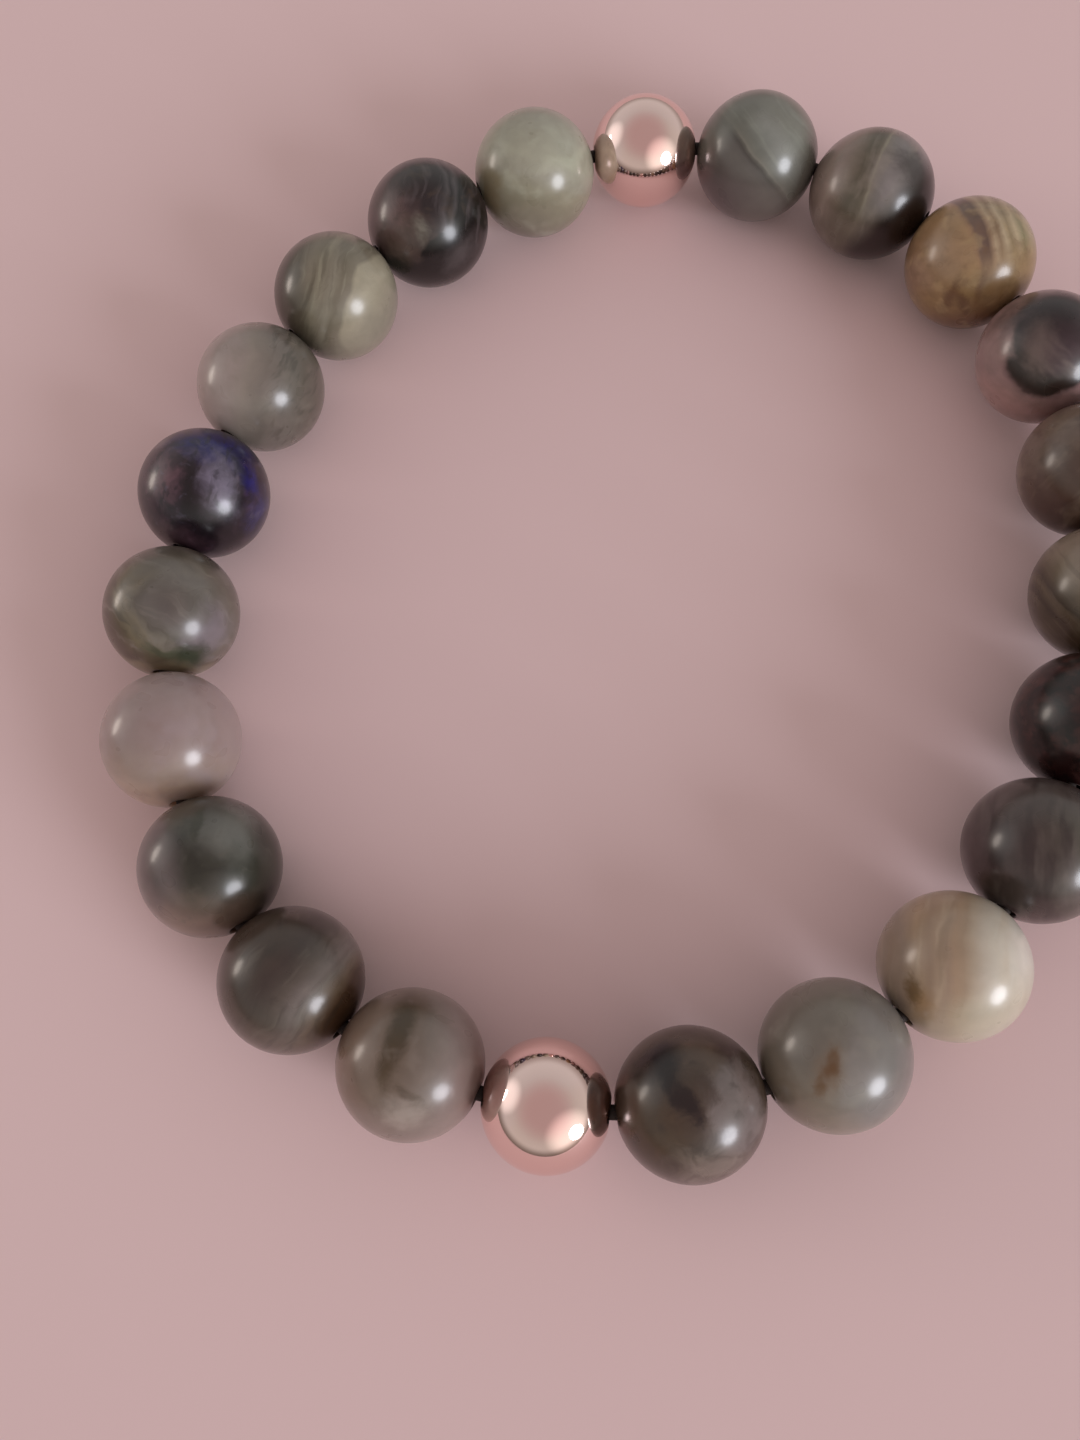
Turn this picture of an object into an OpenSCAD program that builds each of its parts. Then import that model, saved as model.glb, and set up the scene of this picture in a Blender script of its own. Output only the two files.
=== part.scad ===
// Stretch bracelet of round polished stone beads with two smaller metal beads, lying flat.
// The beads run clockwise, seen from above, along a smooth and slightly oval loop.

/* [Beads] */
// Diameter of a stone bead
stone_d = 8; // [6:0.5:10]
// Diameter of a metal bead
metal_d = 7; // [5:0.5:8]
// Number of stones from the first metal bead clockwise to the second
first_run = 11; // [9:1:13]
// Number of stones from the second metal bead clockwise back to the first
second_run = 10; // [9:1:13]
// Gap between the surfaces of neighbouring beads
bead_gap = 0.06; // [0.04:0.01:0.3]

/* [Drilled holes] */
// Diameter of the hole through a stone bead
stone_hole_d = 1.2; // [1.1:0.1:1.5]
// Diameter of the hole through a metal bead
metal_hole_d = 1.5; // [1.1:0.1:1.8]
// Width of the chamfer round each mouth of a hole
mouth_chamfer = 0.15; // [0.1:0.05:0.25]

/* [Elastic cord] */
// Diameter of the elastic cord
cord_d = 0.8; // [0.5:0.1:0.8]

/* [Loop] */
// How far the loop is drawn out into an oval, as a share of its mean radius
oval = 0.07; // [0:0.01:0.1]
// How far one end of the oval is blunter than the other, as a share of the mean radius
egg = 0.007; // [0:0.001:0.01]
// Direction of the oval's long axis, counted from +X, in degrees
long_axis = 69; // [0:1:180]
// Direction of the first metal bead from the middle of the loop, in degrees
first_bead_at = 87.4; // [80:0.1:100]

/* [Hidden] */
$fn = 64;
// Sides of the cord's tube
cord_sides = 8;
// Steps in which the loop's length is added up
loop_steps = 720;
// Half of the angle over which the loop's heading is taken, in degrees
heading_reach = 0.5;

// Main colour of each stone, clockwise from the first metal bead
STONE_COLOURS = [
    "#6f6a62", "#5f534a", "#84693f", "#6b5452", "#5a4b42", "#6a5e50", "#2e2625",
    "#4c423f", "#a3927c", "#6f665e", "#4e453f", "#6f645c", "#4f443e", "#4c4742",
    "#8c7775", "#6b645d", "#2a2230", "#81726c", "#7d715f", "#3a3431", "#98907e"
];
metal_colour = "#c99a88";
cord_colour = "#241a16";

bead_count = first_run + second_run + 2;
METAL_PLACES = [0, first_run + 1];
STONE_PLACES = [for (place = [0 : bead_count - 1]) if (!is_metal(place)) place];

function is_metal(place) = place == METAL_PLACES[0] || place == METAL_PLACES[1];
function bead_d(place) = is_metal(place % bead_count) ? metal_d : stone_d;
function two_digits(number) = str(number < 10 ? "0" : "", number);
function stone_name(k) = str("stone_bead_", two_digits(k + 1));
function metal_name(k) = str("metal_bead_", two_digits(k + 1));

STONE_NAMES = [for (k = [0 : len(STONE_PLACES) - 1]) stone_name(k)];
METAL_NAMES = [for (k = [0 : len(METAL_PLACES) - 1]) metal_name(k)];

// Outline of the loop with a mean radius of one
function loop_radius(angle) =
    1 + oval * cos(2 * (angle - long_axis)) + egg * cos(3 * (angle - long_axis));
function loop_point(angle) = loop_radius(angle) * [cos(angle), sin(angle)];

// Rows of length run from angle 0, and angle
step_angle = 360 / loop_steps;
LENGTH_TO_ANGLE = [
    for (k = 0, run = 0; k <= loop_steps;
         run = run + norm(loop_point((k + 1) * step_angle) - loop_point(k * step_angle)),
         k = k + 1)
    [run, k * step_angle]
];
ANGLE_TO_LENGTH = [for (row = LENGTH_TO_ANGLE) [row[1], row[0]]];

// The loop is as long as its beads and gaps, measured along its curve
function chord(place) = (bead_d(place) + bead_d(place + 1)) / 2 + bead_gap;
rough_r = bead_count * (stone_d + bead_gap) / (2 * PI);
function arc(place) = 2 * rough_r * asin(chord(place) / (2 * rough_r)) * PI / 180;
// Rows of arc length from the first bead to each place
ARC_RUN = [
    for (place = 0, run = 0; place <= bead_count; run = run + arc(place), place = place + 1)
    run
];
loop_length = ARC_RUN[bead_count];
mean_r = loop_length / LENGTH_TO_ANGLE[loop_steps][0];

// Angle and centre of each bead on the loop, before the loop is centred
function wrapped(run) = run < 0 ? run + loop_length : run;
first_run_length = mean_r * lookup(first_bead_at, ANGLE_TO_LENGTH);
function bead_angle(place) =
    lookup(wrapped(first_run_length - ARC_RUN[place]) / mean_r, LENGTH_TO_ANGLE);
BEAD_ANGLES = [for (place = [0 : bead_count - 1]) bead_angle(place)];
LOOSE_CENTRES = [for (angle = BEAD_ANGLES) mean_r * loop_point(angle)];

// The middle of the bracelet's outline goes to the origin
function low_side(axis) =
    min([for (place = [0 : bead_count - 1]) LOOSE_CENTRES[place][axis] - bead_d(place) / 2]);
function high_side(axis) =
    max([for (place = [0 : bead_count - 1]) LOOSE_CENTRES[place][axis] + bead_d(place) / 2]);
middle = [low_side(0) + high_side(0), low_side(1) + high_side(1)] / 2;
CENTRES = [for (centre = LOOSE_CENTRES) centre - middle];

// Each hole runs along the loop at its bead, clockwise
function clockwise_step(angle) =
    loop_point(angle - heading_reach) - loop_point(angle + heading_reach);
function unit(v) = v / norm(v);
THREADS = [for (angle = BEAD_ANGLES) unit(clockwise_step(angle))];
function heading(place) = atan2(THREADS[place][1], THREADS[place][0]);

// The cord is straight in each hole and bends where two neighbouring holes' lines cross
function cross_2d(a, b) = a[0] * b[1] - a[1] * b[0];
function next(place) = (place + 1) % bead_count;
function bend_point(place) =
    let (across = CENTRES[next(place)] - CENTRES[place],
         reach = cross_2d(across, THREADS[next(place)]) / cross_2d(THREADS[place], THREADS[next(place)]))
    CENTRES[place] + reach * THREADS[place];

// A ring of the tube lies in the plane that halves the bend, so each stretch stays round
function ring_point(place, side) =
    let (along = unit(THREADS[place] + THREADS[next(place)]),
         sideways = [-along[1], along[0]] / (along * THREADS[place]),
         turn = 360 * (side + 0.5) / cord_sides,
         level = bend_point(place) + cord_d / 2 * cos(turn) * sideways)
    [level[0], level[1], stone_d / 2 + cord_d / 2 * sin(turn)];

function corner(place, side) = (place % bead_count) * cord_sides + side % cord_sides;

module drilled_bead(d, hole_d) {
    rim_r = hole_d / 2 + mouth_chamfer;
    rim_z = sqrt(pow(d / 2, 2) - pow(rim_r, 2));
    difference() {
        sphere(d = d);
        cylinder(d = hole_d, h = 2 * d, center = true);
        for (side = [0, 1])
            mirror([0, 0, side])
                translate([0, 0, rim_z - mouth_chamfer])
                    cylinder(r1 = hole_d / 2, r2 = rim_r + mouth_chamfer, h = 2 * mouth_chamfer);
    }
}

module threaded(place) {
    translate([CENTRES[place][0], CENTRES[place][1], stone_d / 2])
        rotate([0, 90, heading(place)])
            children();
}

module stone_bead(k) {
    color(STONE_COLOURS[k % len(STONE_COLOURS)])
        threaded(STONE_PLACES[k])
            drilled_bead(stone_d, stone_hole_d);
}

module metal_bead(k) {
    color(metal_colour)
        threaded(METAL_PLACES[k])
            drilled_bead(metal_d, metal_hole_d);
}

module elastic_cord() {
    points = [
        for (place = [0 : bead_count - 1], side = [0 : cord_sides - 1]) ring_point(place, side)
    ];
    faces = [
        for (place = [0 : bead_count - 1], side = [0 : cord_sides - 1])
        [corner(place, side), corner(place, side + 1), corner(place + 1, side + 1), corner(place + 1, side)]
    ];
    color(cord_colour)
        polyhedron(points, faces);
}

elastic_cord();
for (k = [0 : len(METAL_NAMES) - 1])
    metal_bead(k);
for (k = [0 : len(STONE_NAMES) - 1])
    stone_bead(k);
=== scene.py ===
import math

import bmesh
import bpy
from mathutils import Matrix, Vector


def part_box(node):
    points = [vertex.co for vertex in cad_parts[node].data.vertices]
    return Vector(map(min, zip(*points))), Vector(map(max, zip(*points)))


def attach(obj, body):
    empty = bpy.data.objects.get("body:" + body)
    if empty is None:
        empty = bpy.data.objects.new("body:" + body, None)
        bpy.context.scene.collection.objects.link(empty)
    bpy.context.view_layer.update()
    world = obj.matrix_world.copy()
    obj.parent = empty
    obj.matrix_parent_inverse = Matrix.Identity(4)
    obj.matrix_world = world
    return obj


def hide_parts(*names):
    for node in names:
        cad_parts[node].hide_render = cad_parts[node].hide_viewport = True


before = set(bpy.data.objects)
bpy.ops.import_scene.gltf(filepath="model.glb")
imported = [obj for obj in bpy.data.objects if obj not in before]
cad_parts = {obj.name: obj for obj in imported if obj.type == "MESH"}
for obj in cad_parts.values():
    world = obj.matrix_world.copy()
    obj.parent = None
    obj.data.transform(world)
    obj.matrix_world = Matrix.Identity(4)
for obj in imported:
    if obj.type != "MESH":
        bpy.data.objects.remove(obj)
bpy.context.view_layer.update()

# Viewpoint
# The picture is taken a hand's width above the bracelet, from a little nearer its lower end.
# It is set first because the marks of each stone are placed on the side that faces it.
MM = 0.001
EYE = Vector((-2.17, -28.79, 68.9)) * MM
LOOKED_AT = Vector((-5.39, -9.2, 4.0)) * MM
# The angle of view is that of a 29 mm lens on full-frame film
LENS = 29.27
SENSOR = 36
NEAREST = 5 * MM

camera_data = bpy.data.cameras.new("camera")
camera_data.lens = LENS
camera_data.sensor_width = SENSOR
camera_data.clip_start = NEAREST
camera = bpy.data.objects.new("camera", camera_data)
bpy.context.scene.collection.objects.link(camera)


def facing(place):
    """Turn that lays x to the right, y up and z towards the eye, as seen at a place."""
    towards = (EYE - place).normalized()
    right = Vector((0, 1, 0)).cross(towards).normalized()
    up = towards.cross(right)
    return Matrix((right, up, towards)).transposed()


camera.matrix_world = Matrix.Translation(EYE) @ facing(LOOKED_AT).to_4x4()
bpy.context.scene.camera = camera

# Stone beads: how one is made
# A ball of about 8 mm is ground from rough stone, drilled through on its thread line,
# and tumbled until it shines. The mouths of the hole come out softly rounded.
STONE_HOLE = 1.2 * MM
STONE_MOUTH = 0.15 * MM
ROUND_STEPS = 96
ARC_STEPS = 46
MOUTH_STEPS = 4


def middle(node):
    """Middle of a bead, from the box of its node."""
    low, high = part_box(node)
    return (low + high) / 2


def clockwise(node):
    """How far round the loop a bead lies, clockwise as seen from above."""
    return -math.atan2(middle(node).y, middle(node).x)


string = sorted((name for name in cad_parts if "bead" in name), key=clockwise)


def thread_line(node):
    """Direction of a bead's hole: the loop's own direction there, worked out from both neighbours."""
    place = string.index(node)
    to_here = middle(node) - middle(string[place - 1])
    from_here = middle(string[(place + 1) % len(string)]) - middle(node)
    return (to_here / to_here.length_squared + from_here / from_here.length_squared).normalized()


def drilled_ball(node, hole, mouth):
    """A ball as large as its node, bored along the thread line, with rounded mouths."""
    low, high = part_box(node)
    radius = (high.z - low.z) / 2
    edge_angle = math.asin(hole / 2 / radius)
    ball = bmesh.new()
    start = ball.verts.new((radius * math.sin(edge_angle), 0, radius * math.cos(edge_angle)))
    bmesh.ops.spin(ball, geom=[start], cent=(0, 0, 0), axis=(0, 1, 0),
                   angle=math.pi - 2 * edge_angle, steps=ARC_STEPS)
    bmesh.ops.spin(ball, geom=ball.verts[:] + ball.edges[:], cent=(0, 0, 0), axis=(0, 0, 1),
                   angle=math.tau, steps=ROUND_STEPS, use_merge=True)
    rims = [edge for edge in ball.edges if edge.is_boundary]
    bmesh.ops.bridge_loops(ball, edges=rims)
    bmesh.ops.bevel(ball, geom=rims, offset=mouth, segments=MOUTH_STEPS, affect="EDGES",
                    profile=0.5, material=-1)
    bmesh.ops.recalc_face_normals(ball, faces=ball.faces)
    turn = Vector((0, 0, 1)).rotation_difference(thread_line(node)).to_matrix().to_4x4()
    bmesh.ops.transform(ball, matrix=Matrix.Translation(middle(node)) @ turn, verts=ball.verts)
    for face in ball.faces:
        face.smooth = True
    mesh = bpy.data.meshes.new(node)
    ball.to_mesh(mesh)
    ball.free()
    piece = bpy.data.objects.new(node.replace("_bead_", "_ball_"), mesh)
    bpy.context.scene.collection.objects.link(piece)
    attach(piece, "root")
    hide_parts(node)
    return piece


# Stone beads: how one looks
# Polished stone has clouds, straight or bent bands, blots and hairlines that run right
# through it, so each mark here is a solid shape inside the ball that its skin cuts.
# A few marks instead paint light or shade onto a stone: paler feet where a neighbouring bead
# shades it, and darker bottoms or rims. Each says so where it is laid.

# Jasper is opaque, and takes the hardest shine. Chalcedony is waxy and half-clear, so light
# sinks in and comes out softer. Sodalite is a blue and black grain, opaque like jasper.
STONE_IOR = 1.54
STONE_SHINE = 0.35
# Tumbling leaves a sharp shine in a soft haze: the haze is the stone, the shine its coat
HAZE = 0.3
HAZE_VARIES = 0.1
SHARP_SHARE = 0.45
SHARP_ROUGHNESS = 0.18
# Red light goes a little further in than blue
SINKS_IN = (1.0, 0.85, 0.75)
# Sizes in mm of the patches that shine unevenly, and of the skin's faint ripple
WEAR_SIZE = 1.4
RIPPLE_SIZE = 0.8
RIPPLE_HEIGHT = 0.01 * MM
RIPPLE_STRENGTH = 0.3
# Noise stays nearly always between these two
NOISE_LOW = 0.3
NOISE_HIGH = 0.7
# Distance in mm that keeps the noise of two marks from having the same lumps
APART = 7.3


def linear(colour):
    """A colour written as in a paint chart, #rrggbb, as the light it stands for."""
    parts = [int(colour[k:k + 2], 16) / 255 for k in (1, 3, 5)]
    return tuple(p / 12.92 if p <= 0.04045 else ((p + 0.055) / 1.055) ** 2.4 for p in parts) + (1,)


def add(material, kind, inputs, **settings):
    """Adds a node with its settings, links or sets its inputs, and returns its first output."""
    nodes = material.node_tree.nodes
    node = nodes.new(kind)
    for name, value in settings.items():
        setattr(node, name, value)
    for key, value in inputs.items():
        live = [socket for socket in node.inputs if socket.enabled]
        socket = live[key] if isinstance(key, int) else next(s for s in live if s.name == key)
        if isinstance(value, bpy.types.NodeSocket):
            material.node_tree.links.new(value, socket)
        else:
            socket.default_value = value
    return next((socket for socket in node.outputs if socket.enabled), None)


class Stone:
    """One bead's stone, whose marks are placed in mm right of and above the middle of its face."""

    def __init__(self, node, kind, body, drift=0.4, drift_size=3.0):
        """A plain ball of one colour. Drift is how far its marks waver, over lumps of drift_size."""
        self.node = node
        self.material = bpy.data.materials.new(f"{kind}_{node[-2:]}")
        self.material.use_nodes = True
        self.material.node_tree.nodes.clear()
        self.colour = linear(body)
        # Where the stone's marks start in the noise, so that each stone has its own lumps
        self.seed = 10 * int(node[-2:])
        place = middle(node)
        around = add(self.material, "ShaderNodeTexCoord", {}).node.outputs["Object"]
        self.face = add(self.material, "ShaderNodeMapping", {
            "Vector": around, "Location": place, "Rotation": facing(place).to_euler(),
            "Scale": (MM, MM, MM)}, vector_type="TEXTURE")
        # A broad waver, and a finer and weaker one on top of it
        broadly = self.stirred(self.face, drift, drift_size)
        self.drifted = self.stirred(broadly, drift / 6, drift_size / 5)

    def lumps(self, size, detail=2.0, along=None):
        """Soft random light and dark, in lumps of about the size given."""
        self.seed += 1
        elsewhere = add(self.material, "ShaderNodeVectorMath", {
            0: along or self.drifted, 1: (APART * self.seed, 0.0, 0.0)}, operation="ADD")
        return add(self.material, "ShaderNodeTexNoise", {
            "Vector": elsewhere, "Scale": 1 / size, "Detail": detail})

    def stirred(self, place, amount, size):
        """The place, pushed aside at random, so that marks waver as they do in real stone."""
        # The noise swings by about a quarter each way round its middle, hence the four
        reach = 4 * amount
        push = self.lumps(size, 1.0, along=place).node.outputs["Color"]
        both_ways = add(self.material, "ShaderNodeVectorMath", {
            0: push, 1: (0.5, 0.5, 0.5)}, operation="SUBTRACT")
        return add(self.material, "ShaderNodeVectorMath", {
            0: both_ways, 1: (reach, reach, reach), 2: place}, operation="MULTIPLY_ADD")

    def across(self, angle, lean=0.0):
        """Distance from the middle along a line at an angle on the face, leaning to the viewer."""
        angle, lean = math.radians(angle), math.radians(lean)
        line = (math.cos(angle) * math.cos(lean), math.sin(angle) * math.cos(lean), math.sin(lean))
        return add(self.material, "ShaderNodeVectorMath", {0: self.drifted, 1: line},
                   operation="DOT_PRODUCT").node.outputs["Value"]

    def from_spot(self, at, size, turn):
        """Distance from a place on the face, and one at the edge of an egg of half the size given."""
        low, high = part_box(self.node)
        radius = (high.z - low.z) / 2 / MM
        depth = math.sqrt(max(radius ** 2 - at[0] ** 2 - at[1] ** 2, 0.0))
        centred = add(self.material, "ShaderNodeMapping", {
            "Vector": self.drifted, "Location": (at[0], at[1], depth),
            "Rotation": (0.0, 0.0, math.radians(turn)), "Scale": (size[0], size[1], max(size))},
            vector_type="TEXTURE")
        return add(self.material, "ShaderNodeVectorMath", {0: centred},
                   operation="LENGTH").node.outputs["Value"]

    def layers(self, distance, stops):
        """Layers that follow a distance. Each stop is a distance and the colour there."""
        first, last = stops[0][0], stops[-1][0]
        span = add(self.material, "ShaderNodeMapRange", {
            "Value": distance, "From Min": first, "From Max": last})
        ramp = add(self.material, "ShaderNodeValToRGB", {"Fac": span}).node
        elements = ramp.color_ramp.elements
        while len(elements) < len(stops):
            elements.new(0.5)
        for element, (place, colour) in zip(elements, stops):
            element.position = (place - first) / (last - first)
            element.color = linear(colour)
        self.colour = ramp.outputs["Color"]

    def lay(self, colour, measure, low, high, most):
        """Lays a colour over the stone, with a soft edge: none at low, and the most at high."""
        cover = add(self.material, "ShaderNodeMapRange", {
            "Value": measure, "From Min": low, "From Max": high, "To Min": 0.0, "To Max": most},
            interpolation_type="SMOOTHSTEP")
        self.colour = add(self.material, "ShaderNodeMix", {
            "Factor": cover, "A": self.colour, "B": linear(colour)}, data_type="RGBA")

    def fading(self, angle, low, high, most, lean=0.0):
        """How strong a mark is across the stone: nothing at low, and the most at high."""
        return add(self.material, "ShaderNodeMapRange", {
            "Value": self.across(angle, lean), "From Min": low, "From Max": high,
            "To Min": 0.0, "To Max": most}, interpolation_type="SMOOTHSTEP")

    def beyond(self, colour, angle, start, full, most=1.0):
        """Colours one side of the stone, from where it starts to show to where it is full."""
        self.lay(colour, self.across(angle), start, full, most)

    def blot(self, colour, at, size, turn=0.0, soft=0.4, ragged=0.5, most=1.0):
        """A blot with its middle at a place on the face, half its size given, and an uneven edge."""
        edge = add(self.material, "ShaderNodeMath", {
            0: self.lumps(0.6 * min(size)), 1: 2 * ragged, 2: self.from_spot(at, size, turn)},
            operation="MULTIPLY_ADD")
        self.lay(colour, edge, 1 + ragged + soft, 1 + ragged - soft, most)

    def clouds(self, colour, size, low, high, most):
        """Clouds of another colour, thin at low and full at high."""
        self.lay(colour, self.lumps(size), low, high, most)

    def streaks(self, colour, angle, width, length, low=0.5, high=0.7, most=0.5):
        """Thin streaks that run along an angle, each about a width by a length."""
        drawn_out = add(self.material, "ShaderNodeMapping", {
            "Vector": self.drifted, "Rotation": (0.0, 0.0, math.radians(angle)),
            "Scale": (length, width, length)}, vector_type="TEXTURE")
        self.lay(colour, self.lumps(1.0, along=drawn_out), low, high, most)

    def mottle(self, size, amount):
        """Makes the colour lighter and darker in lumps, without changing its hue."""
        tone = add(self.material, "ShaderNodeMapRange", {
            "Value": self.lumps(size, 4.0), "From Min": NOISE_LOW, "From Max": NOISE_HIGH,
            "To Min": 1 - amount, "To Max": 1 + amount})
        self.colour = add(self.material, "ShaderNodeHueSaturation", {
            "Color": self.colour, "Value": tone})

    def polished(self, glow=0.0, glow_depth=0.8):
        """Finishes the bead: its shine, the light that sinks into it to a depth in mm, its ball."""
        worn = add(self.material, "ShaderNodeMapRange", {
            "Value": self.lumps(WEAR_SIZE, 1.0, along=self.face),
            "From Min": NOISE_LOW, "From Max": NOISE_HIGH,
            "To Min": (1 - HAZE_VARIES) * HAZE, "To Max": (1 + HAZE_VARIES) * HAZE})
        ripple = add(self.material, "ShaderNodeBump", {
            "Height": self.lumps(RIPPLE_SIZE, 1.0, along=self.face),
            "Strength": RIPPLE_STRENGTH, "Distance": RIPPLE_HEIGHT})
        shader = add(self.material, "ShaderNodeBsdfPrincipled", {
            "Base Color": self.colour, "Roughness": worn, "Normal": ripple, "IOR": STONE_IOR,
            "Specular IOR Level": STONE_SHINE, "Coat Weight": SHARP_SHARE,
            "Coat Roughness": SHARP_ROUGHNESS, "Subsurface Weight": glow,
            "Subsurface Radius": SINKS_IN, "Subsurface Scale": glow_depth * MM})
        add(self.material, "ShaderNodeOutputMaterial", {"Surface": shader})
        piece = drilled_ball(self.node, STONE_HOLE, STONE_MOUTH)
        piece.data.materials.append(self.material)


# First run of stones
# Eleven stones, threaded clockwise from the upper metal bead to the lower one. Most are
# jasper, cut across its layers, and some are waxy half-clear chalcedony.

# Grey-green, and browner below one pale seam with a dark edge
stone = Stone("stone_bead_01", "banded_jasper", "#727269", drift=0.2)
stone.layers(stone.across(34), [
    (-4, "#514849"), (-2.2, "#59524f"), (-0.9, "#5e5954"), (-0.5, "#57534f"), (-0.28, "#45423d"),
    (-0.12, "#57554e"), (0.0, "#727167"), (0.14, "#6a6b62"), (0.5, "#686b63"), (1.0, "#757972"),
    (1.6, "#7d8079"), (2.5, "#72736a"), (4, "#66655b")])
stone.beyond("#64655c", 122, 1.4, 2.6, most=0.75)
stone.streaks("#85897f", -56, 0.5, 5.0, most=stone.fading(34, 0.2, 0.6, 0.4))
stone.beyond("#5b5750", -60, 0.6, 2.8, most=0.6)
stone.mottle(1.0, 0.07)
stone.polished()

# Taupe with an olive layer, a pale hairline beside it and a near-black end
stone = Stone("stone_bead_02", "banded_jasper", "#6b6459", drift=0.22)
stone.layers(stone.across(-31), [
    (-4, "#847269"), (-2.4, "#827169"), (-1.7, "#716559"), (-1.15, "#575042"), (-0.6, "#524b3d"),
    (-0.4, "#5f584a"), (-0.24, "#807a6a"), (-0.1, "#716a61"), (0.2, "#6c6762"), (0.7, "#716b69"),
    (1.3, "#6c6764"), (2.0, "#625c5b"), (4, "#544d4c")])
stone.beyond("#5b5144", -105, -0.2, 2.2, most=0.85)
stone.blot("#7f7976", (1.1, 1.3), (0.9, 1.2), turn=-20, soft=0.7, most=0.5)
stone.streaks("#827a6f", 59, 0.6, 2.5, most=0.3)
stone.clouds("#7c7267", 1.2, 0.5, 0.75, most=0.3)
stone.blot("#3b3533", (2.6, 1.1), (0.8, 1.2), turn=20, soft=0.7, most=0.85)
stone.beyond("#1f1310", -55, 0.6, 2.0)
stone.mottle(0.8, 0.1)
stone.polished()

# Ochre, with brown and beige layers bending down its right side
stone = Stone("stone_bead_03", "banded_jasper", "#967b5a", drift=0.2)
stone.layers(stone.across(0, -23), [
    (-4, "#7f634c"), (-2.4, "#937656"), (-1.4, "#997e5d"), (-1.2, "#917559"), (-0.98, "#6c584d"),
    (-0.42, "#644f44"), (-0.15, "#937c64"), (0.05, "#a59277"), (0.4, "#867158"), (0.8, "#ab9a7e"),
    (1.25, "#867558"), (1.75, "#a69577"), (2.3, "#7c7554"), (2.8, "#9a8d6c"), (4, "#81765d")])
stone.beyond("#876c47", -80, -0.5, 1.4, most=0.85)
stone.beyond("#6b4a35", -95, 2.0, 3.6, most=0.85)
stone.blot("#9e8469", (-1.7, 0.7), (1.6, 1.3), soft=0.7, most=0.45)
stone.blot("#593a24", (-1.3, -1.6), (0.3, 1.1), turn=-35, soft=0.8, most=0.75)
stone.blot("#593a24", (-0.7, -2.1), (0.25, 0.9), turn=15, soft=0.8, most=0.75)
stone.blot("#60402c", (0.4, -1.6), (0.2, 0.9), turn=-30, soft=0.8, most=0.5)
stone.clouds("#70553a", 0.9, 0.52, 0.74, most=0.45)
stone.clouds("#af976e", 1.1, 0.54, 0.74, most=0.35)
stone.mottle(0.7, 0.1)
stone.polished()

# Waxy pink-grey, with a great charcoal blot that has a black rim on its lower left
stone = Stone("stone_bead_04", "cloudy_chalcedony", "#8e7472", drift=0.3)
stone.clouds("#7e6264", 1.4, 0.5, 0.72, most=0.35)
stone.blot("#271b16", (0.5, -0.1), (2.75, 2.4), soft=0.14, ragged=0.3)
stone.blot("#8d7471", (-2.3, 1.7), (1.15, 1.75), turn=-12, soft=0.25, ragged=0.3)
stone.blot("#3e2f34", (1.6, 1.45), (2.4, 2.55), soft=0.2, ragged=0.35)
stone.streaks("#685b56", -46, 1.0, 2.6, 0.42, 0.7, most=stone.fading(-80, -1.8, 0.4, 0.75))
stone.blot("#1a080c", (0.8, 2.6), (2.8, 1.7), soft=0.7, most=0.9)
stone.blot("#796963", (-0.1, 0.7), (0.8, 1.2), turn=-25, soft=0.9, most=0.5)
# Painted light: the lower left is made lighter to offset the shade that falls there.
stone.beyond("#a47f7a", -130, 1.6, 3.0, most=0.6)
stone.mottle(0.6, 0.08)
stone.polished(glow=0.35)

# Taupe, lighter on top and dark brown below
stone = Stone("stone_bead_05", "banded_jasper", "#615144")
stone.layers(stone.across(90), [
    (-4, "#34221b"), (-2, "#3f2a21"), (-1, "#4c392f"), (0, "#55443b"), (1, "#5f4f44"),
    (2, "#64544b"), (4, "#6d5c51")])
stone.streaks("#766658", 38, 0.7, 2.4, 0.46, 0.7, most=0.45)
stone.clouds("#412e26", 1.0, 0.48, 0.68, most=0.5)
stone.mottle(0.7, 0.1)
stone.polished()

# Grey-beige above, and brown with fine slanting layers below
stone = Stone("stone_bead_06", "banded_jasper", "#7f7265", drift=0.25)
stone.layers(stone.across(33), [
    (-4, "#3b2d24"), (-2.9, "#423629"), (-2.5, "#34291e"), (-2.15, "#4f4333"), (-1.8, "#372c21"),
    (-1.4, "#4c4031"), (-0.9, "#605444"), (-0.3, "#786c5d"), (0.4, "#7f7265"), (1.5, "#827266"),
    (4, "#77685b")])
stone.beyond("#413226", -90, 0.7, 2.6, most=0.85)
stone.streaks("#5b4e40", -57, 0.35, 4.0, most=0.5)
stone.mottle(0.9, 0.08)
stone.polished()

# Very dark brown
stone = Stone("stone_bead_07", "dark_jasper", "#1d0908")
stone.clouds("#3e211e", 1.5, 0.44, 0.68, most=0.8)
stone.clouds("#090202", 0.9, 0.46, 0.62, most=0.9)
stone.clouds("#462e29", 0.7, 0.56, 0.76, most=0.4)
stone.mottle(0.5, 0.2)
stone.polished()

# Dark grey-brown with faint upright streaks
stone = Stone("stone_bead_08", "dark_jasper", "#443938", drift=0.15)
stone.layers(stone.across(0), [
    (-4, "#3a2a2c"), (-2, "#453837"), (-0.6, "#403230"), (1, "#443c36"), (2.4, "#4f4a42"),
    (4, "#535149")])
stone.beyond("#534a48", 90, 0.8, 3.0, most=0.7)
stone.blot("#251914", (-1.8, -2.1), (1.5, 0.9), turn=-15, soft=0.5, most=0.9)
stone.blot("#635955", (2.4, -2.0), (1.3, 1.2), soft=0.7, most=0.8)
stone.streaks("#2a1e1e", 84, 0.8, 3.0, 0.44, 0.7, most=0.65)
stone.streaks("#665d57", 84, 0.8, 3.0, 0.5, 0.78, most=0.4)
stone.mottle(0.7, 0.12)
stone.polished()

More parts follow.
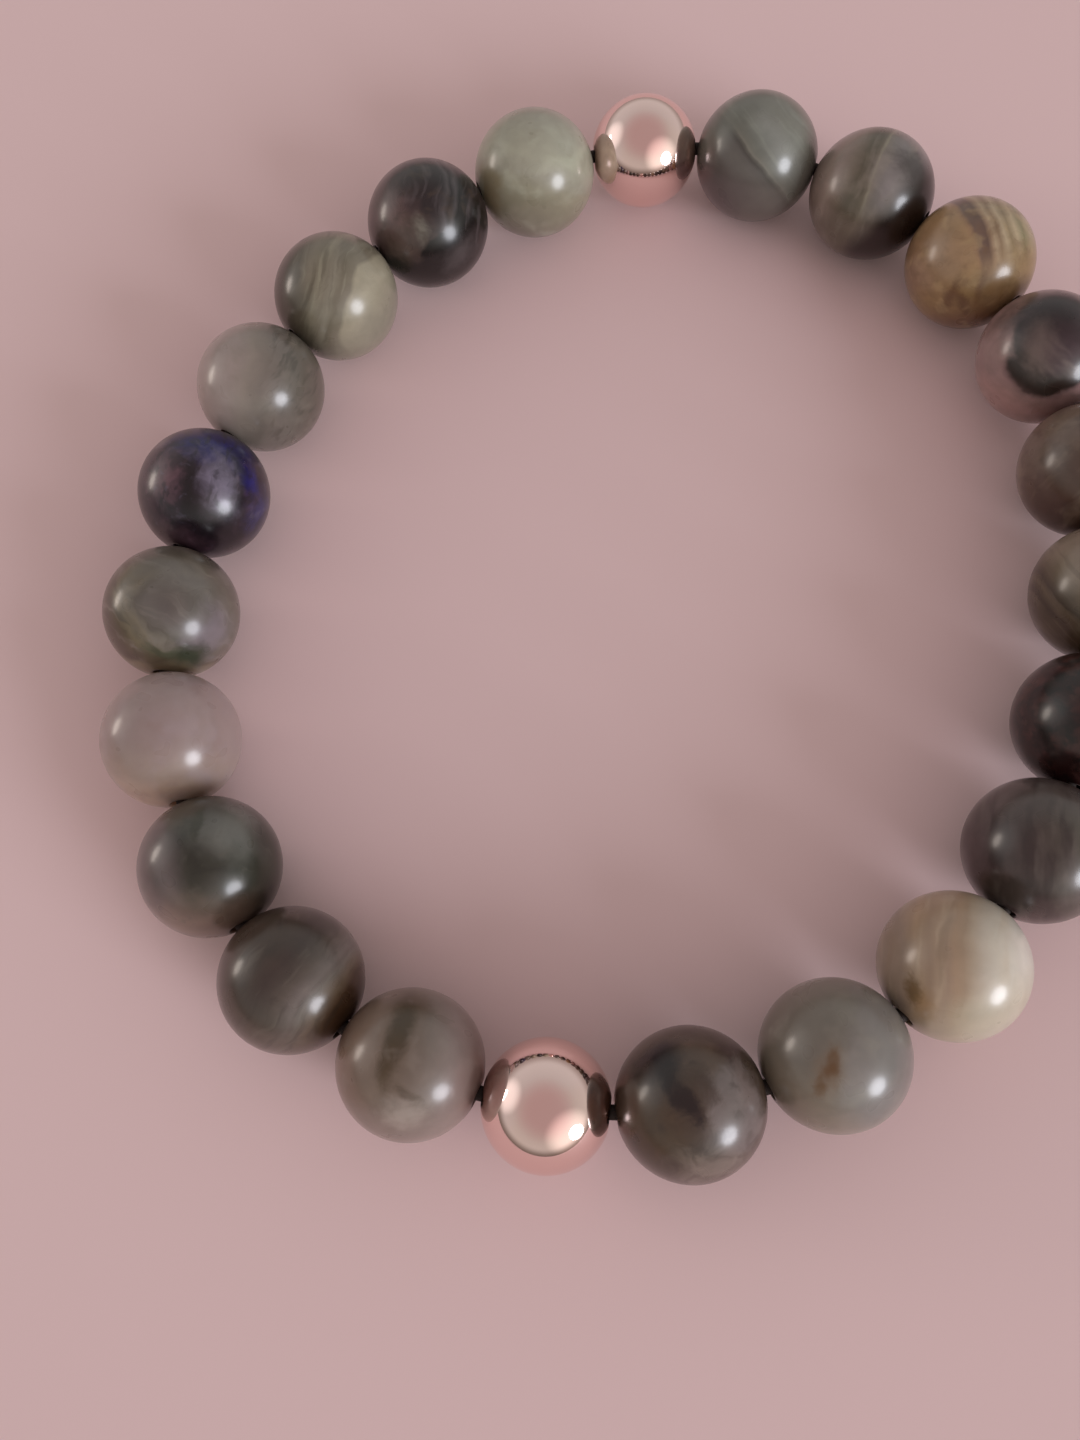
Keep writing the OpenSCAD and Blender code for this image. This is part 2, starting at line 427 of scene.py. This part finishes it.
# Cream on the right, and tan in nearly upright layers on the left, with an olive spot
stone = Stone("stone_bead_09", "banded_jasper", "#bfb7aa", drift=0.25)
stone.layers(stone.across(-10, -8), [
    (-4, "#827263"), (-3.0, "#887769"), (-2.2, "#9d866e"), (-1.6, "#97816d"), (-1.1, "#a6907b"),
    (-0.7, "#a18c79"), (-0.3, "#a79079"), (0.1, "#a38f79"), (0.5, "#b0a28f"), (1.0, "#bcb3a4"),
    (1.6, "#c5bfb1"), (3, "#d0cabf"), (4, "#c1beb2")])
stone.streaks("#bbab94", 76, 0.7, 5.0, 0.48, 0.74, most=0.35)
stone.streaks("#806d5a", 78, 0.7, 3.5, 0.48, 0.74, most=stone.fading(-10, 0.4, -0.4, 0.45))
stone.beyond("#b4ab95", -70, 1.0, 3.0, most=0.7)
stone.blot("#644e32", (-2.2, -1.3), (0.4, 0.75), turn=-8, soft=0.6, most=0.9)
stone.blot("#97784f", (-1.75, -2.0), (0.5, 1.0), turn=-10, soft=0.9, most=0.55)
stone.mottle(1.0, 0.05)
stone.polished(glow=0.2)

# Waxy grey, with a rust-brown wedge in the middle
stone = Stone("stone_bead_10", "cloudy_chalcedony", "#7c766c", drift=0.3)
stone.layers(stone.across(-15), [
    (-4, "#645c53"), (-2, "#70685f"), (0, "#787269"), (0.9, "#807b76"), (3, "#7a7773"), (4, "#78716d")])
stone.beyond("#867968", -130, 1.0, 3.2, most=0.6)
stone.blot("#7f6953", (-0.4, -0.9), (0.75, 1.2), turn=-24, soft=0.7, most=0.55)
stone.blot("#64482b", (-0.55, -0.9), (0.4, 1.15), turn=-32, soft=0.6, ragged=0.3, most=0.9)
stone.blot("#64482b", (-0.1, -0.65), (0.32, 0.85), turn=4, soft=0.6, ragged=0.3, most=0.85)
stone.clouds("#8b877d", 1.6, 0.5, 0.75, most=0.45)
stone.clouds("#6d675e", 1.3, 0.54, 0.74, most=0.3)
stone.mottle(0.9, 0.04)
stone.polished(glow=0.35)

# Grey and olive-brown, blotched with plum-black
stone = Stone("stone_bead_11", "dark_jasper", "#44372d", drift=0.5, drift_size=2.2)
stone.blot("#493828", (-2.0, -1.3), (1.7, 1.6), most=0.9)
stone.blot("#6f6562", (2.3, -0.3), (1.5, 2.5), turn=10, soft=0.4, ragged=0.4, most=0.95)
stone.blot("#57473b", (0.7, 2.3), (1.2, 1.2), soft=0.5, most=0.9)
stone.blot("#14080c", (-1.7, 1.9), (1.5, 1.1), turn=-15, soft=0.7, ragged=0.4, most=0.95)
stone.blot("#170909", (-0.5, 0.4), (0.5, 1.7), turn=30, soft=0.6, ragged=0.5, most=0.95)
stone.blot("#3e2e24", (0.9, 0.9), (0.4, 1.2), turn=35, soft=0.7, most=0.7)
stone.blot("#352520", (2.2, 2.5), (0.9, 0.8), soft=0.7, most=0.85)
stone.blot("#2c1e1a", (1.3, -2.6), (0.35, 1.0), turn=35, soft=0.6, most=0.85)
stone.blot("#7d7067", (1.0, -3.0), (1.5, 0.9), soft=0.8, most=0.75)
stone.blot("#776a66", (2.9, 0.9), (0.5, 1.4), turn=20, soft=0.6, most=0.6)
stone.clouds("#34251f", 1.1, 0.52, 0.72, most=0.45)
stone.mottle(0.7, 0.1)
stone.polished()

# Second run of stones
# Ten stones, threaded on clockwise from the lower metal bead back to the upper one. They
# are of the same parcel, apart from one blue stone halfway.

# Taupe and mauve-grey, with an olive streak down from the top
stone = Stone("stone_bead_12", "cloudy_chalcedony", "#776a61", drift=0.3)
stone.layers(stone.across(-8), [
    (-4, "#7a6457"), (-2, "#7a695d"), (-0.3, "#6e6054"), (0.8, "#766b63"), (2, "#7f706b"),
    (4, "#79635e")])
stone.beyond("#85766f", -90, 1.2, 3.0, most=0.7)
stone.blot("#564636", (0.0, 3.1), (1.0, 1.1), soft=0.7, ragged=0.3, most=0.85)
stone.blot("#453825", (-0.6, 1.6), (0.55, 2.0), turn=-12, soft=0.6, ragged=0.3, most=0.95)
stone.blot("#4c3d28", (-1.1, 0.1), (0.4, 1.3), turn=-4, soft=0.7, ragged=0.3, most=0.85)
stone.blot("#534639", (0.1, -1.6), (0.25, 0.8), turn=50, soft=0.6, most=0.7)
# Painted light: a pale blot lifts the foot, where the bead lies in shade.
stone.blot("#a3978e", (-0.3, -2.5), (1.0, 0.8), soft=0.7, most=0.7)
stone.clouds("#877c74", 1.2, 0.52, 0.75, most=0.35)
stone.mottle(0.8, 0.06)
stone.polished(glow=0.2)

# Dark brown-grey with a lighter slanting band
stone = Stone("stone_bead_13", "banded_jasper", "#4f4239", drift=0.35)
stone.layers(stone.across(-32, 12), [
    (-4, "#3d3028"), (-2.6, "#463931"), (-1.4, "#43362d"), (-0.2, "#3c312c"), (0.3, "#433a34"),
    (0.9, "#524942"), (1.3, "#5b524d"), (1.65, "#635a55"), (1.85, "#5d534e"), (2.1, "#645c55"),
    (2.4, "#61554b"), (2.8, "#5a4b3c"), (3.3, "#44301f"), (4, "#3a2718")])
stone.beyond("#504439", -110, 1.6, 3.4, most=0.7)
stone.streaks("#332a23", 58, 0.5, 2.6, most=0.4)
stone.streaks("#6e665c", 58, 0.5, 2.2, 0.55, 0.78, most=0.3)
stone.mottle(0.9, 0.1)
stone.polished()

# Moss-dark middle, with a pale cloud above and mauve-grey on the left
stone = Stone("stone_bead_14", "cloudy_chalcedony", "#2d2d23", drift=0.35)
stone.clouds("#202118", 1.2, 0.48, 0.68, most=0.7)
stone.beyond("#625655", 190, 0.9, 2.5, most=0.95)
# A pale brown foot: partly the stone's own colour, partly painted light that lifts the shade cast by
# the neighbouring bead.
stone.blot("#806b5f", (0.3, -3.7), (3.8, 2.0), soft=0.7, ragged=0.3, most=0.9)
stone.blot("#686862", (1.2, 2.2), (2.1, 1.5), turn=-8, soft=0.7, ragged=0.3)
stone.blot("#353629", (-0.9, 2.6), (0.3, 1.4), turn=8, soft=0.5, most=0.8)
stone.blot("#564f45", (-1.8, 2.8), (0.8, 0.9), soft=0.5, most=0.7)
stone.beyond("#28271e", 8, 1.9, 3.2, most=0.8)
stone.clouds("#535047", 0.8, 0.56, 0.74, most=0.35)
stone.mottle(0.9, 0.08)
stone.polished(glow=0.5, glow_depth=1.2)

# Waxy pale pink-grey, nearly even, with painted light: a much paler foot and a slightly lighter top
stone = Stone("stone_bead_15", "cloudy_chalcedony", "#958485")
# Painted light: the layers run from a pale foot, against the shade of the neighbouring bead, to a
# slightly lighter top.
stone.layers(stone.across(90), [
    (-4, "#d5beab"), (-3.0, "#b6a190"), (-2.2, "#99887e"), (0, "#968582"), (2, "#9c8a88"),
    (4, "#a29292")])
stone.clouds("#a29396", 1.8, 0.45, 0.75, most=0.45)
stone.clouds("#8f7a78", 1.2, 0.54, 0.76, most=0.3)
stone.mottle(0.7, 0.03)
stone.polished(glow=1.0, glow_depth=2.2)

# Grey heart inside pale rings and an olive-brown skin, with a dark green spot below
stone = Stone("stone_bead_16", "banded_jasper", "#6a6761", drift=0.5, drift_size=2.4)
stone.layers(stone.from_spot((0.5, 0.3), (3.9, 3.2), -32), [
    (0, "#574f4b"), (0.3, "#5b5450"), (0.5, "#645f5a"), (0.62, "#5c564f"), (0.7, "#696358"),
    (0.8, "#736a5a"), (0.87, "#645b4b"), (0.97, "#6b614c"), (1.08, "#584c3a"), (1.3, "#4f4032")])
stone.beyond("#5e5951", 50, -0.5, 1.8, most=0.75)
stone.streaks("#7e776f", 150, 0.5, 2.5, 0.48, 0.72, most=0.5)
stone.streaks("#4b4132", 130, 0.5, 2.4, 0.48, 0.7, most=stone.fading(215, 0.4, 2.4, 0.85))
stone.blot("#797075", (2.2, -1.1), (1.3, 1.7), turn=-30, soft=0.7, most=0.9)
stone.blot("#6f6a64", (0.3, 2.2), (2.2, 0.8), turn=-15, soft=0.7, most=0.6)
stone.blot("#313828", (1.1, -2.6), (1.3, 0.75), turn=12, soft=0.7, ragged=0.35, most=0.95)
stone.blot("#434b39", (-0.4, -2.3), (0.9, 0.35), turn=-12, soft=0.6, most=0.6)
# Painted light: the foot is made paler to lift the shade where the neighbouring bead blocks the light.
stone.beyond("#91846b", -95, 2.6, 3.5, most=0.8)
stone.mottle(0.8, 0.08)
stone.polished(glow=0.4, glow_depth=1.4)

# The blue stone: navy, black and grey grains
stone = Stone("stone_bead_17", "navy_sodalite", "#1d111e", drift=0.25, drift_size=1.6)
stone.clouds("#402c39", 0.9, 0.5, 0.7, most=0.6)
stone.blot("#120b55", (0.4, 2.9), (2.3, 1.0), soft=0.8, ragged=0.5)
stone.blot("#120c4a", (-0.6, 2.4), (0.8, 0.6), soft=0.8, ragged=0.5, most=0.9)
stone.blot("#0c0736", (1.8, 2.3), (0.9, 0.8), soft=0.8, ragged=0.5, most=0.9)
stone.blot("#5b3f48", (-2.5, 0.8), (1.0, 1.5), soft=0.8, ragged=0.5, most=0.9)
stone.blot("#676071", (0.8, 0.7), (0.9, 1.6), turn=18, soft=0.8, ragged=0.6)
stone.blot("#060206", (-0.9, -0.1), (0.5, 1.8), turn=8, soft=0.8, ragged=0.7)
stone.blot("#131159", (2.6, 1.1), (0.5, 0.8), soft=0.7, ragged=0.5)
stone.blot("#2a2854", (3.3, -0.9), (0.7, 1.3), soft=0.8, ragged=0.5, most=0.9)
stone.blot("#5c505a", (-2.7, 2.7), (0.5, 0.45), soft=0.8, ragged=0.6, most=0.8)
stone.blot("#50475d", (-1.0, 2.2), (0.45, 0.4), soft=0.8, ragged=0.6, most=0.7)
stone.streaks("#0c0511", 80, 0.5, 1.0, 0.5, 0.7, most=0.6)
stone.clouds("#585265", 0.6, 0.58, 0.76, most=0.35)
stone.blot("#0b040a", (0.8, -2.3), (3.0, 1.2), soft=0.9, ragged=0.5, most=0.85)
# Painted light: a plum blot lifts the foot out of the shade of the neighbouring bead.
stone.blot("#473238", (-1.3, -3.0), (1.3, 0.7), soft=0.9, ragged=0.5, most=0.6)
stone.mottle(0.5, 0.2)
stone.polished()

# Pink-beige turning grey-brown on the right, with slanting flecks there
stone = Stone("stone_bead_18", "cloudy_chalcedony", "#847a73", drift=0.3)
stone.layers(stone.across(-3), [
    (-4, "#9c8d89"), (-2, "#978a85"), (-1, "#877e75"), (0, "#726a62"), (1, "#6a635c"),
    (2, "#625d55"), (4, "#585046")])
stone.streaks("#454139", 58, 0.4, 1.4, 0.48, 0.7, most=stone.fading(0, -0.6, 1.4, 0.65))
stone.clouds("#7c756a", 1.2, 0.52, 0.75, most=0.3)
stone.mottle(0.8, 0.05)
stone.polished(glow=0.3)

# Olive-grey in fine layers, with a plain cream layer on the right
stone = Stone("stone_bead_19", "banded_jasper", "#6d6858", drift=0.3)
stone.layers(stone.across(-12, 21), [
    (-4, "#332a20"), (-2.4, "#4f483b"), (-0.9, "#766f60"), (-0.3, "#706a5a"), (0.1, "#85806e"),
    (0.6, "#756f60"), (1.0, "#7d7869"), (1.4, "#6b6556"), (1.75, "#726c5d"), (1.95, "#746e5f"),
    (2.2, "#938d7a"), (3, "#999380"), (4, "#827d6d")])
stone.streaks("#433c2f", 78, 0.5, 3.5, 0.46, 0.72, most=stone.fading(-12, 1.9, 1.5, 0.5, lean=21))
stone.streaks("#8a8775", 78, 0.3, 3.0, 0.55, 0.75, most=stone.fading(-12, 1.9, 1.5, 0.5, lean=21))
stone.beyond("#7f7b6c", -50, 1.6, 3.4, most=0.75)
# Painted shade: the left rim is darkened, as it falls away from the light.
stone.beyond("#393126", 208, 1.2, 3.0, most=0.8)
stone.mottle(0.7, 0.07)
stone.polished()

# Black-grey, with faint upright lines, a brown-grey island and a black foot
stone = Stone("stone_bead_20", "dark_jasper", "#1f191a", drift=0.35)
stone.layers(stone.across(-6, -15), [
    (-4, "#4e3c3c"), (-3.3, "#483736"), (-2.6, "#2f2323"), (-1.4, "#1d1516"), (-0.5, "#1e1819"),
    (-0.15, "#3f3a3b"), (0.1, "#1a1416"), (0.4, "#3e393a"), (0.7, "#0a0606"), (1.3, "#130d0e"),
    (1.8, "#322c2e"), (2.3, "#211a1c"), (4, "#2a2425")])
stone.blot("#493b35", (-1.7, -0.9), (1.8, 1.3), turn=14, soft=0.7, ragged=0.5)
stone.blot("#706d62", (-0.45, -0.2), (0.3, 0.7), turn=8, soft=0.9, ragged=0.4, most=0.7)
stone.blot("#644b49", (-2.2, 0.7), (1.2, 1.2), soft=0.9, most=0.7)
stone.clouds("#3c3027", 0.8, 0.5, 0.7, most=0.5)
stone.blot("#0b0706", (1.9, -1.9), (2.0, 3.6), turn=-36, soft=0.15, ragged=0.6, most=0.95)
stone.blot("#090504", (-1.0, -3.4), (3.2, 1.4), soft=0.3, ragged=0.5, most=0.95)
stone.blot("#453f3f", (2.2, -1.7), (0.7, 1.2), turn=-30, soft=0.8, most=0.7)
stone.streaks("#595153", 84, 0.4, 2.4, 0.54, 0.76, most=stone.fading(60, 0.0, 1.5, 0.4))
stone.mottle(0.7, 0.15)
stone.polished()

# Pale green-beige, greener at the lower left, and darker towards the bottom as painted shade
stone = Stone("stone_bead_21", "cloudy_chalcedony", "#959385", drift=0.35)
# Painted shade: the layers darken the stone from its top to its bottom.
stone.layers(stone.across(80), [
    (-4, "#736e62"), (-2, "#807c69"), (-0.8, "#8d8975"), (0, "#959384"), (1, "#9f9f8e"),
    (2, "#9b9b8b"), (4, "#959385")])
stone.blot("#84765b", (-3.1, -1.3), (0.9, 1.5), soft=0.8, most=0.7)
stone.blot("#aeb19d", (2.2, 0.9), (2.2, 0.35), turn=18, soft=0.8, most=0.5)
stone.clouds("#abad9c", 1.6, 0.5, 0.75, most=0.4)
stone.clouds("#858371", 1.1, 0.53, 0.75, most=0.4)
stone.mottle(0.7, 0.05)
stone.polished(glow=0.3)

# Metal beads
# Hollow brass balls of about 7 mm, plated a pale rose gold and polished like a mirror,
# one at each end of the two runs of stones. The edge of each hole is rolled inwards.
METAL_HOLE = 1.5 * MM
METAL_ROLL = 0.2 * MM
MARK_SIZE = 0.6 * MM
BLUSH_SIZE = 3 * MM
DENT_SIZE = 1.6 * MM
DENT_DEPTH = 0.02 * MM
DENT_STRENGTH = 0.3
# Roughness where the mirror is best and where it is most rubbed
MIRROR_BEST = 0.02
MIRROR_RUBBED = 0.09
rose_gold = bpy.data.materials.new("polished_rose_gold_plate")
rose_gold.use_nodes = True
rose_gold.node_tree.nodes.clear()
around = add(rose_gold, "ShaderNodeTexCoord", {}).node.outputs["Object"]
# A bright pink-gold mirror that bends what it shows a little, as a thin hollow ball does.
# Hair-fine polishing marks are too small to see, so they only dull the mirror unevenly.
marks = add(rose_gold, "ShaderNodeTexNoise", {
    "Vector": around, "Scale": 1 / MARK_SIZE, "Detail": 4.0})
dulled = add(rose_gold, "ShaderNodeMapRange", {
    "Value": marks, "To Min": MIRROR_BEST, "To Max": MIRROR_RUBBED})
blush = add(rose_gold, "ShaderNodeTexNoise", {"Vector": around, "Scale": 1 / BLUSH_SIZE})
plate = add(rose_gold, "ShaderNodeMix", {
    "Factor": blush, "A": linear("#f7ddd7"), "B": linear("#f3d3cb")}, data_type="RGBA")
waver = add(rose_gold, "ShaderNodeTexNoise", {
    "Vector": around, "Scale": 1 / DENT_SIZE, "Detail": 1.0})
dents = add(rose_gold, "ShaderNodeBump", {
    "Height": waver, "Strength": DENT_STRENGTH, "Distance": DENT_DEPTH})
mirror = add(rose_gold, "ShaderNodeBsdfPrincipled", {
    "Base Color": plate, "Metallic": 1.0, "Roughness": dulled, "Normal": dents})
add(rose_gold, "ShaderNodeOutputMaterial", {"Surface": mirror})
for node in ("metal_bead_01", "metal_bead_02"):
    piece = drilled_ball(node, METAL_HOLE, METAL_ROLL)
    piece.data.materials.append(rose_gold)

# Elastic cord
# One dark, round stretch cord of 0.8 mm through every bead, tied in a knot that is
# pulled into a metal bead. It shows only as a shadow between the beads.
# The ribs of a real one are too fine to show here, so they are drawn 0.15 mm wide.
CORD = 0.8 * MM
CORD_RIB = 0.15 * MM
CORD_RIB_DEPTH = 0.05 * MM
CORD_STEPS = 8
cord_curve = bpy.data.curves.new("elastic_cord", "CURVE")
cord_curve.dimensions = "3D"
cord_curve.bevel_depth = CORD / 2
cord_curve.resolution_u = CORD_STEPS
loop = cord_curve.splines.new("BEZIER")
loop.use_cyclic_u = True
loop.bezier_points.add(len(string) - 1)
for place, (point, node) in enumerate(zip(loop.bezier_points, string)):
    before = middle(string[place - 1])
    after = middle(string[(place + 1) % len(string)])
    point.co = middle(node)
    point.handle_left = point.co - thread_line(node) * (point.co - before).length / 2
    point.handle_right = point.co + thread_line(node) * (point.co - after).length / 2
cord = bpy.data.objects.new("stretch_cord", cord_curve)
bpy.context.scene.collection.objects.link(cord)
# Braided elastic is matt and dark, and its fibres make it a little uneven
rubber = bpy.data.materials.new("dark_braided_elastic")
rubber.use_nodes = True
rubber.node_tree.nodes.clear()
around = add(rubber, "ShaderNodeTexCoord", {}).node.outputs["Object"]
fibre = add(rubber, "ShaderNodeTexNoise", {
    "Vector": around, "Scale": 1 / CORD_RIB, "Detail": 2.0})
tone = add(rubber, "ShaderNodeMix", {
    "Factor": fibre, "A": linear("#1b120e"), "B": linear("#32241d")}, data_type="RGBA")
ribs = add(rubber, "ShaderNodeBump", {
    "Height": fibre, "Strength": 0.5, "Distance": CORD_RIB_DEPTH})
matt = add(rubber, "ShaderNodeBsdfPrincipled", {
    "Base Color": tone, "Roughness": 0.75, "Normal": ribs})
add(rubber, "ShaderNodeOutputMaterial", {"Surface": matt})
cord_curve.materials.append(rubber)
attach(cord, "root")
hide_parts("elastic_cord")

# Floor
# A plain pale board, matt card on top, that reaches so far out on every side that its edge
# shows in no bead.

# Half its width, in metres
FLOOR_REACH = 12
board = bmesh.new()
bmesh.ops.create_grid(board, x_segments=1, y_segments=1, size=FLOOR_REACH)
floor_mesh = bpy.data.meshes.new("floor")
board.to_mesh(floor_mesh)
board.free()
floor = bpy.data.objects.new("floor", floor_mesh)
bpy.context.scene.collection.objects.link(floor)
# Matt card gives an even ground with no gloss, and its pale pink warms the beads from below
card = bpy.data.materials.new("matt_pale_card")
card.use_nodes = True
card.node_tree.nodes.clear()
flat = add(card, "ShaderNodeBsdfPrincipled", {"Base Color": linear("#dfc4c5"), "Roughness": 0.9})
add(card, "ShaderNodeOutputMaterial", {"Surface": flat})
floor_mesh.materials.append(card)

# Light
# A plain studio: a wide low window to the right and below with its glow on the wall, a small
# lamp to the left, and a pale room that is greyer at the far side, dim low down, and dimmer
# and a little pinker overhead.
LIGHTS = [
    # name, degrees round from +Y, degrees up, metres away, width and height in metres,
    # degrees of tilt, watts, colour
    ("window", 130, 18, 4.0, 1.6, 1.7, 0, 88, "#f4f6ff"),
    ("lamp", -78, 11, 4.0, 1.4, 0.75, -35, 18, "#fff0e4"),
]
NEAR_WALL = "#cecac3"
FAR_WALL = "#cdcbc8"
NEAR_DUSK = "#7d736c"
FAR_DUSK = "#a39a95"
CEILING = "#cab3b1"
FAR_SIDE = Vector((0, 1, 0))
WINDOW_SIDE = Vector((0.35, -0.8, 0.48))
GLOW_MIDDLE = Vector((0.591, -0.656, 0.469))
LAMP_SIDE = Vector((-0.9, 0.23, 0.37))
OVERHEAD = Vector((0.0, -0.15, 0.99))
# How near to its side the wall, the dusk and the ceiling start to show and are full
NEAR_WALL_SPAN = (-0.1, 0.5)
FAR_DUSK_SPAN = (-0.3, 0.6)
CEILING_SPAN = (0.5, 0.95)
# Where the room is brighter or dimmer: direction, how near to it that starts and is full, and
# the strength there
TONES = [
    (GLOW_MIDDLE, 0.75, 1.0, 2.3),
    (LAMP_SIDE, 0.88, 1.0, 2.0),
    (OVERHEAD, 0.1, 1.0, 0.8),
]
EVEN = 0.95
# The sine of the height above the horizon from which the walls are no longer in dusk
LIT_FROM = 0.3
world = bpy.data.worlds.new("room")
bpy.context.scene.world = world
world.use_nodes = True
world.node_tree.nodes.clear()
looking = add(world, "ShaderNodeTexCoord", {}).node.outputs["Generated"]
rise = add(world, "ShaderNodeSeparateXYZ", {"Vector": looking}).node.outputs["Z"]


def seen_towards(direction, low, high, to_low=0.0, to_high=1.0):
    """How nearly the room is seen in a direction, as a soft step from low to high."""
    nearness = add(world, "ShaderNodeVectorMath", {0: looking, 1: direction},
                   operation="DOT_PRODUCT").node.outputs["Value"]
    return add(world, "ShaderNodeMapRange", {
        "Value": nearness, "From Min": low, "From Max": high, "To Min": to_low, "To Max": to_high},
        interpolation_type="SMOOTHSTEP")


walls = add(world, "ShaderNodeMix", {
    "Factor": seen_towards(WINDOW_SIDE, *NEAR_WALL_SPAN),
    "A": linear(FAR_WALL), "B": linear(NEAR_WALL)}, data_type="RGBA")
dusk = add(world, "ShaderNodeMix", {
    "Factor": seen_towards(FAR_SIDE, *FAR_DUSK_SPAN),
    "A": linear(NEAR_DUSK), "B": linear(FAR_DUSK)}, data_type="RGBA")
lit = add(world, "ShaderNodeMapRange", {"Value": rise, "From Min": 0.0, "From Max": LIT_FROM},
          interpolation_type="SMOOTHSTEP")
sides = add(world, "ShaderNodeMix", {"Factor": lit, "A": dusk, "B": walls}, data_type="RGBA")
room = add(world, "ShaderNodeMix", {
    "Factor": seen_towards(OVERHEAD, *CEILING_SPAN),
    "A": sides, "B": linear(CEILING)}, data_type="RGBA")
strength = EVEN
for direction, low, high, most in TONES:
    strength = add(world, "ShaderNodeMath", {
        0: strength, 1: seen_towards(direction, low, high, 1.0, most)}, operation="MULTIPLY")
glow = add(world, "ShaderNodeBackground", {"Color": room, "Strength": strength})
add(world, "ShaderNodeOutputWorld", {"Surface": glow})
for name, bearing, height, distance, width, tall, tilt, power, colour in LIGHTS:
    lamp_data = bpy.data.lights.new(name, "AREA")
    lamp_data.shape = "ELLIPSE"
    lamp_data.size = width
    lamp_data.size_y = tall
    lamp_data.energy = power
    lamp_data.color = linear(colour)[:3]
    lamp = bpy.data.objects.new(name, lamp_data)
    bpy.context.scene.collection.objects.link(lamp)
    bearing, height = math.radians(bearing), math.radians(height)
    level = math.cos(height)
    out = Vector((math.sin(bearing) * level, math.cos(bearing) * level, math.sin(height)))
    turned = out.to_track_quat("Z", "Y").to_matrix().to_4x4()
    tilted = Matrix.Rotation(math.radians(tilt), 4, "Z")
    lamp.matrix_world = Matrix.Translation(out * distance) @ turned @ tilted
# Colours are shown as they are, with no film look
bpy.context.scene.view_settings.view_transform = "Standard"
